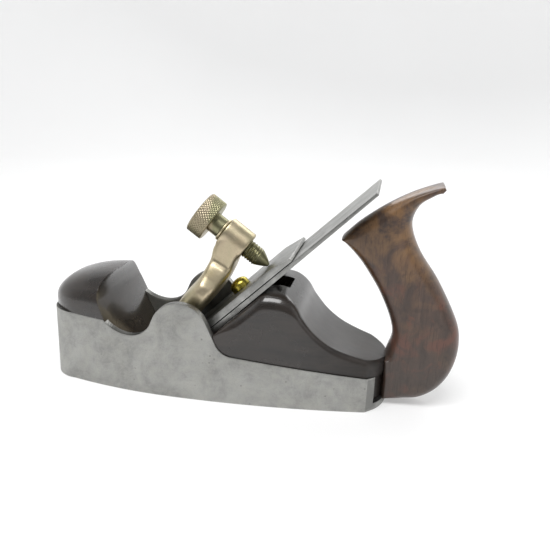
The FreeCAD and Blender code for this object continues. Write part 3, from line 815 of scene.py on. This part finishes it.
def rounded_slab(name, outline, thick, radius, power):
    """A closed outline in XZ as a slab whose sides curve in towards its edge."""
    rings = 9
    points = [Vector(point) for point in outline]
    count = len(points)
    inwards = []
    for i in range(count):
        along = points[(i + 1) % count] - points[i - 1]
        inwards.append(Vector((-along.y, along.x)).normalized())
    area = sum(points[i - 1].x * points[i].y - points[i].x * points[i - 1].y
               for i in range(count))
    if area < 0:
        inwards = [-inward for inward in inwards]
    depths = [min(radius, 0.8 * inscribed(points, i, inwards[i])) for i in range(count)]
    for _ in range(12):
        depths = [min(depths[i], (depths[i - 1] + depths[i] + depths[(i + 1) % count]) / 3)
                  for i in range(count)]
    sections = []
    for ring in range(-rings, rings + 1):
        angle = math.pi / 2 * ring / rings
        out = abs(math.cos(angle)) ** (2 / power)
        across = math.copysign(abs(math.sin(angle)) ** (2 / power), angle) * thick / 2
        sections.append([(point.x + inward.x * depth * (1 - out), across,
                          point.y + inward.y * depth * (1 - out))
                         for point, inward, depth in zip(points, inwards, depths)])
    return loft(name, sections)


def handle_wood(name):
    """The open handle: nose and horn above a hooked grip."""
    front = spline([(115.6, 99.4), (126.4, 88.1), (132.9, 79.6), (139.7, 69.2),
                    (146.9, 54.3), (149.5, 43.4), (147.3, 33.9), (146.0, 28.0)], 7)
    foot = [(146.0, 16.0), (146.0, 1.9)]
    back = spline([(157.0, 2.6), (168.5, 4.6), (177.8, 10.6), (184.4, 19.8), (188.0, 31.0),
                   (188.6, 43.0), (185.5, 55.5), (173.2, 77.6), (160.5, 95.3),
                   (154.6, 110.4), (157.5, 121.5), (164.6, 127.4), (169.0, 129.9)], 7)
    top = spline([(170.4, 132.0), (168.2, 133.8), (156.2, 129.6), (145.8, 124.4),
                  (135.2, 117.6), (124.7, 109.3), (117.2, 101.6)], 6)
    thick = high_mm("handle").y - low_mm("handle").y
    grip = rounded_slab(name, front + foot + back + top, thick, in_mm("handle_round"), 2.3)
    smooth_shade(grip, 40)
    fit(grip, "handle", rosewood_finish())


def cast_body(name):
    """The casting: a coffin-sided tray, open at the heel, with a mouth across its sole."""
    walls = wall_line()
    heel_centre = HEEL - math.sqrt(HEEL_RADIUS ** 2 - half_width(HEEL) ** 2)
    inner_heel = heel_centre + math.sqrt(HEEL_RADIUS ** 2 - (half_width(HEEL) - WALL) ** 2)
    outer = half_plan(0.0, HEEL)
    inner = half_plan(WALL, inner_heel)
    outer = [(x, -y) for x, y in reversed(outer[1:])] + outer
    inner = [(x, -y) for x, y in reversed(inner[1:])] + inner
    edge = 1.3
    vertices = []
    for (x, y), (inner_x, inner_y) in zip(outer, inner):
        top = value_at(walls, x)
        inner_top = value_at(walls, inner_x)
        vertices += [(x, y, z) for z in (0, edge, *spread(edge, top - edge, 5)[1:], top)]
        vertices += [(inner_x, inner_y, z) for z in (inner_top, inner_top - edge, SOLE)]
    levels = len(vertices) // len(outer)
    faces = []
    for i in range(len(outer) - 1):
        for j in range(levels - 1):
            here = i * levels + j
            faces.append((here, here + 1, here + levels + 1, here + levels))
    last = (len(outer) - 1) * levels
    end_y = inner[-1][1]
    heel = [(heel_centre + math.sqrt(HEEL_RADIUS ** 2 - y * y), y)
            for y in spread(end_y, -end_y, 19)]
    low = [len(vertices) + i for i in range(len(heel))]
    vertices += [(x, y, 0) for x, y in heel]
    high = [last + levels - 1, *[len(vertices) + i for i in range(len(heel) - 2)], levels - 1]
    vertices += [(x, y, SOLE) for x, y in heel[1:-1]]
    faces += [(a, b, d, c) for a, b, c, d in zip(low, low[1:], high, high[1:])]
    faces.append((*range(last, last + levels), low[0]))
    faces.append((*reversed(range(levels)), low[-1]))
    faces.append((*[i * levels for i in range(len(outer))], *low))
    faces.append((*[i * levels + levels - 1 for i in range(len(outer))], *high[1:-1]))
    body = new_object(name, vertices, faces)
    tidy_mesh(body)
    mouth = [(-0.9, -1), (-0.9, 1.2), (-THROAT, SOLE + 1), (BED_FOOT + SOLE + 1, SOLE + 1),
             (BED_FOOT - 1, -1)]
    combine(body, prism("mouth_tool", mouth, 27.5), "DIFFERENCE")
    round_edges(body, in_mm("casting_arris"), 2, 24)
    smooth_shade(body, 40)
    for face in body.data.polygons:
        face.use_smooth = abs(face.normal.z) < 0.9999
    fit(body, "body_casting", casting_finish())


def eased_iron(node, name, body):
    iron = copy_of(node, name)
    round_edges(iron, in_mm("iron_arris"), 2, 25)
    smooth_shade(iron, 28)
    fit(iron, node, steel_finish(), body)


# the screw's axis: its tip, and the way that it points out
SCREW_TILT = math.radians(34.5)
SCREW_OUT = Vector((-math.cos(SCREW_TILT), 0, math.sin(SCREW_TILT)))
IRON_TAPER = 2.2 / 187
IRON_PITCH = math.radians(45) - math.atan(IRON_TAPER)


def on_iron(along, out):
    """A point along the iron's front face and out from it, in millimetres."""
    return Vector((along * math.cos(IRON_PITCH) - out * math.sin(IRON_PITCH), 0,
                   0.1 + along * math.sin(IRON_PITCH) + out * math.cos(IRON_PITCH)))


SCREW_TIP = on_iron(105.8, 4.975)
SCREW_RADIUS = 6.0
SCREW_HOLE = 6.06
NECK_RADIUS = 6.4
BARREL = 9.8


def set_on_axis(piece, origin, direction):
    """Move a piece that was turned about Z so that it stands at origin along direction."""
    spin = Vector((0, 0, 1)).rotation_difference(direction).to_matrix().to_4x4()
    piece.data.transform(Matrix.Translation(origin * MM) @ spin)


def brass_boss(name):
    """The domed nut on the cap iron."""
    outline = [(0.05, 9.4), (4.06, 9.4), (4.06, 0.6), (5.25, 0.6), (5.25, 4.7), (6.0, 4.75),
               (6.3, 5.0), (6.3, 7.4)]
    outline += [(6.3 * math.cos(a), 7.4 + 3.9 * math.sin(a)) for a in spread(0.12, 1.45, 12)]
    outline.append((0.05, 11.3))
    boss = lathe(name, outline, 64)
    out = Vector((-math.sin(IRON_PITCH), 0, math.cos(IRON_PITCH)))
    set_on_axis(boss, on_iron(83, 0), out)
    smooth_shade(boss)
    fit(boss, "cap_iron_boss", brass_finish(), "cap_iron")


def lever(name):
    """The lever cap: a bored barrel on a body that sweeps down, widens and ends in a nose."""
    front = spline([(6.4, 15.8), (8.6, 30.5), (15.6, 46.0), (23.0, 58.4), (32.6, 70.2),
                    (37.2, 79.5), (39.7, 88.2), (44.6, 96.3)], 8)
    back = spline([(7.8, 14.6), (13.0, 25.4), (25.5, 38.9), (33.2, 46.9), (43.5, 60.6),
                   (50.3, 72.6), (53.2, 80.0), (57.8, 87.3)], 8)
    widths = [(0, 27.0), (0.55, 27.0), (0.60, 25.2), (0.64, 21.0), (0.675, 16.0), (0.71, 12.0),
              (0.755, 10.0), (1, BARREL)]
    sections = []
    last = len(front) - 1
    for i, (fore, aft) in enumerate(zip(front, back)):
        middle = (Vector(fore) + Vector(aft)) / 2
        half = (Vector(fore) - Vector(aft)) / 2
        wide = value_at(widths, i / last)
        square = ease(i / last, 0.60, 0.84)
        section = []
        for step in range(48):
            angle = 2 * math.pi * step / 48
            power = 0.72 - 0.42 * square if math.cos(angle) > 0 else 0.5 - 0.2 * square
            depth = math.copysign(abs(math.cos(angle)) ** power, math.cos(angle))
            power = 0.6 - 0.35 * square
            across = math.copysign(abs(math.sin(angle)) ** power, math.sin(angle)) * wide
            place = middle + half * depth
            section.append((place.x, across, place.y))
        sections.append(section)
    body = loft(name, sections)
    barrel = lathe("barrel_tool", [(BARREL - 0.8, 16.8), (BARREL, 17.3), (BARREL, 33.4),
                                   (BARREL - 0.6, 33.8)], 96)
    set_on_axis(barrel, SCREW_TIP, SCREW_OUT)
    combine(body, barrel, "UNION")
    remesh(body, 0.55, 5)
    bore = lathe("bore_tool", [(SCREW_HOLE, -20), (SCREW_HOLE, 60)], 64)
    set_on_axis(bore, SCREW_TIP, SCREW_OUT)
    combine(body, bore, "DIFFERENCE")
    smooth_shade(body, 40)
    fit(body, "lever_cap", bronze_finish("lever_bronze", 1.45), "lever")


def saw(value):
    """A wave of straight slopes between 0 and 1."""
    return abs((value % 1.0) * 2 - 1)


def knob_radius(around, up, low, high, radius):
    """The knurled knob's radius at a turn (0 to 1) and a height."""
    count = sizes().knurl_count
    diamond = 2 * math.pi * radius / count
    slant = up / (diamond * 1.15)
    cut = min(saw(around * count + slant), saw(around * count - slant))
    fade = min(up - low, high - up, 0.8) / 0.8
    return radius - in_mm("knurl_depth") * (1 - cut) * fade - 0.75 * (1 - fade) ** 2


def thumb_screw(name):
    """Pointed and threaded shank, plain neck and knurled knob."""
    low, high, radius = 42.6, 53.0, 13.6
    plain_tip, thread_end = 3.0, 36.0
    pitch = in_mm("thread_pitch")
    depth = in_mm("thread_depth")
    parts = [i / 96 for i in range(96)]
    sections = []
    for up in spread(0, thread_end, 200):
        envelope = SCREW_RADIUS * min((0.055 + up / 9.6) ** 0.72, 1.0)
        section = []
        for part in parts:
            thread = SCREW_RADIUS - depth * saw(up / pitch - part)
            reach = min(envelope, thread) if up > plain_tip else envelope
            section.append(about_z(reach, part, up))
        sections.append(section)
    sections += [[about_z(NECK_RADIUS, part, up) for part in parts] for up in (thread_end, low)]
    screw = loft(name, sections)
    set_on_axis(screw, SCREW_TIP, SCREW_OUT)
    around = sizes().knurl_count * 8
    parts = [i / around for i in range(around)]
    centre, face = 0.3, radius * 0.6
    rows = [[about_z(reach, part, low) for part in parts] for reach in (centre, face)]
    rows += [[about_z(knob_radius(part, up, low, high, radius), part, up) for part in parts]
             for up in spread(low, high, 62)]
    rows += [[about_z(reach, part, up) for part in parts]
             for reach, up in ((face, high), (centre, high + 0.05))]
    knob = loft("knob", rows)
    set_on_axis(knob, SCREW_TIP, SCREW_OUT)
    mesh = bmesh.new()
    mesh.from_mesh(screw.data)
    mesh.from_mesh(knob.data)
    mesh.to_mesh(screw.data)
    mesh.free()
    bpy.data.objects.remove(knob)
    smooth_shade(screw, 50)
    fit(screw, "thumb_screw", bronze_finish("screw_bronze", dark_past=38.0), "screw")


def washer(name):
    """The loose ring under the knob's neck."""
    low, edge, radius = 34.2, 0.35, 7.6
    high = low + 1.4
    steps = 72
    outline = [(SCREW_HOLE, low), (radius - edge, low)]
    outline += arc((radius - edge, low + edge), edge, -90, 0, 5)
    outline += arc((radius - edge, high - edge), edge, 0, 90, 5) + [(SCREW_HOLE, high)]
    ring = loft(name, [[about_z(reach, i / steps, up) for reach, up in outline]
                       for i in range(steps)], ring=True)
    set_on_axis(ring, SCREW_TIP, SCREW_OUT)
    smooth_shade(ring)
    fit(ring, "screw_washer", bronze_finish("washer_bronze", 1.8), "washer")


# ----------------------------------------------------------------- operators
class PLANE_OT_casting(bpy.types.Operator):
    """Build the cast body with worn edges"""
    bl_idname = "plane.casting"
    bl_label = "Cast body"

    def execute(self, context):
        cast_body("plane_body")
        return {"FINISHED"}


class PLANE_OT_infills(bpy.types.Operator):
    """Build the front and rear wood infills"""
    bl_idname = "plane.infills"
    bl_label = "Wood infills"

    def execute(self, context):
        front_wood("front_bun")
        rear_wood("rear_wood")
        return {"FINISHED"}


class PLANE_OT_handle(bpy.types.Operator):
    """Build the open handle"""
    bl_idname = "plane.handle"
    bl_label = "Handle"

    def execute(self, context):
        handle_wood("grip_wood")
        return {"FINISHED"}


class PLANE_OT_irons(bpy.types.Operator):
    """Build the cutting iron, the cap iron and its brass boss"""
    bl_idname = "plane.irons"
    bl_label = "Irons"

    def execute(self, context):
        eased_iron("cutting_iron", "plane_iron", "iron")
        eased_iron("cap_iron", "chip_breaker", "cap_iron")
        brass_boss("brass_boss")
        return {"FINISHED"}


class PLANE_OT_lever(bpy.types.Operator):
    """Build the lever cap, its washer and its knurled screw"""
    bl_idname = "plane.lever"
    bl_label = "Lever cap and screw"

    def execute(self, context):
        lever("lever_body")
        washer("washer_ring")
        thumb_screw("knurled_screw")
        return {"FINISHED"}


class PLANE_OT_fixings(bpy.types.Operator):
    """Give the plain fixings of the CAD model their finishes"""
    bl_idname = "plane.fixings"
    bl_label = "Fixings"

    def execute(self, context):
        finishes = {"grey_iron": casting_finish(), "bright_steel": steel_finish(),
                    "red_wood": rosewood_finish()}
        flush = ("front_rivet_fore", "front_rivet_aft", "rear_rivet_fore", "rear_rivet_middle",
                 "rear_rivet_aft", "lever_cap_pin")
        plain = {**dict.fromkeys(flush, "grey_iron"), "cap_iron_screw": "bright_steel",
                 "handle_dowel_fore": "red_wood", "handle_dowel_aft": "red_wood"}
        for node, finish in plain.items():
            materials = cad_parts[node].data.materials
            materials.clear()
            materials.append(finishes[finish])
        return {"FINISHED"}


def soft_box(name, size, place, aim, power):
    """A rectangular light that faces a point; lengths in metres."""
    light = bpy.data.lights.new(name, "AREA")
    light.shape = "RECTANGLE"
    light.size, light.size_y = size
    light.energy = power
    lamp = bpy.data.objects.new(name, light)
    bpy.context.scene.collection.objects.link(lamp)
    lamp.location = place
    lamp.rotation_euler = (Vector(aim) - Vector(place)).to_track_quat("-Z", "Y").to_euler()


def add_camera(stage, centre):
    """A camera turned to the heel side, above the side view and slightly rolled."""
    azimuth, elevation = stage.azimuth, stage.elevation
    back = Vector((math.sin(azimuth) * math.cos(elevation),
                   -math.cos(azimuth) * math.cos(elevation), math.sin(elevation)))
    right = Vector((math.cos(azimuth), math.sin(azimuth), 0))
    up = back.cross(right)
    rolled_right = right * math.cos(stage.roll) + up * math.sin(stage.roll)
    rolled_up = up * math.cos(stage.roll) - right * math.sin(stage.roll)
    aim = centre + Vector((8.85, 23.3, -2.7)) * MM
    lens = bpy.data.cameras.new("camera")
    lens.sensor_width = 36
    lens.lens = stage.lens
    lens.clip_start = 0.01
    camera = bpy.data.objects.new("camera", lens)
    bpy.context.scene.collection.objects.link(camera)
    turned = Matrix((rolled_right, rolled_up, back)).transposed().to_4x4()
    camera.matrix_world = Matrix.Translation(aim + back * stage.distance) @ turned
    bpy.context.scene.camera = camera


def add_backdrop():
    """A pale floor that curves up into a wall on all sides, out of reach of the cameras."""
    radius, bend, high = 1600, 500, 1600
    profile = [(20, 0), (400, 0), (radius - bend, 0)]
    profile += [(radius - bend + bend * math.sin(a), bend - bend * math.cos(a))
                for a in spread(0.15, math.pi / 2, 9)]
    profile.append((radius, high))
    floor = lathe("floor", profile, 96)
    mesh = bmesh.new()
    mesh.from_mesh(floor.data)
    lid = max(mesh.faces, key=lambda face: face.calc_center_median().z)
    bmesh.ops.delete(mesh, geom=[lid], context="FACES_ONLY")
    mesh.to_mesh(floor.data)
    mesh.free()
    floor.data.shade_smooth()
    floor.data.materials.append(paper_finish())


class PLANE_OT_stage(bpy.types.Operator):
    """Set up the pale floor, the soft light and the camera"""
    bl_idname = "plane.stage"
    bl_label = "Stage"

    def execute(self, context):
        stage = context.scene.plane_stage
        corners = [Vector(corner) for corner in CAD_BOX]
        centre = (corners[0] + corners[1]) / 2
        add_backdrop()
        world = bpy.data.worlds.new("surround")
        world.use_nodes = True
        surround = world.node_tree.nodes["Background"]
        surround.inputs["Color"].default_value = (0.97, 0.985, 1.0, 1.0)
        surround.inputs["Strength"].default_value = stage.sky
        context.scene.world = world
        soft_box("key", (0.8, 0.5), centre + Vector((-0.10, -0.45, 1.0)), centre, stage.key * 1.2)
        soft_box("back", (1.4, 0.5), centre + Vector((0.15, 1.0, 0.75)), centre, stage.key * 0.6)
        add_camera(stage, centre)
        context.scene.view_settings.view_transform = "Standard"
        return {"FINISHED"}


STEPS = (PLANE_OT_stage, PLANE_OT_casting, PLANE_OT_infills, PLANE_OT_handle,
         PLANE_OT_irons, PLANE_OT_lever, PLANE_OT_fixings)


class PLANE_PT_panel(bpy.types.Panel):
    """Lists the steps that build the plane"""
    bl_idname = "PLANE_PT_panel"
    bl_label = "Infill smoothing plane"
    bl_space_type = "VIEW_3D"
    bl_region_type = "UI"
    bl_category = "Plane"

    def draw(self, context):
        for group in ("plane_sizes", "plane_colours", "plane_stage"):
            settings = getattr(context.scene, group)
            box = self.layout.box()
            for name in settings.__annotations__:
                box.prop(settings, name)
        for step in STEPS:
            self.layout.operator(step.bl_idname)


GROUPS = {"plane_sizes": PlaneSizes, "plane_colours": PlaneColours, "plane_stage": PlaneStage}


def register():
    for cls in (*GROUPS.values(), *STEPS, PLANE_PT_panel):
        bpy.utils.register_class(cls)
    for name, group in GROUPS.items():
        setattr(bpy.types.Scene, name, PointerProperty(type=group))


def unregister():
    for name in GROUPS:
        delattr(bpy.types.Scene, name)
    for cls in (PLANE_PT_panel, *reversed(STEPS), *GROUPS.values()):
        bpy.utils.unregister_class(cls)


def main():
    register()
    for step in STEPS:
        group, action = step.bl_idname.split(".")
        if getattr(getattr(bpy.ops, group), action)() != {"FINISHED"}:
            raise RuntimeError(f"{step.bl_label} did not finish")


if __name__ == "__main__":
    main()
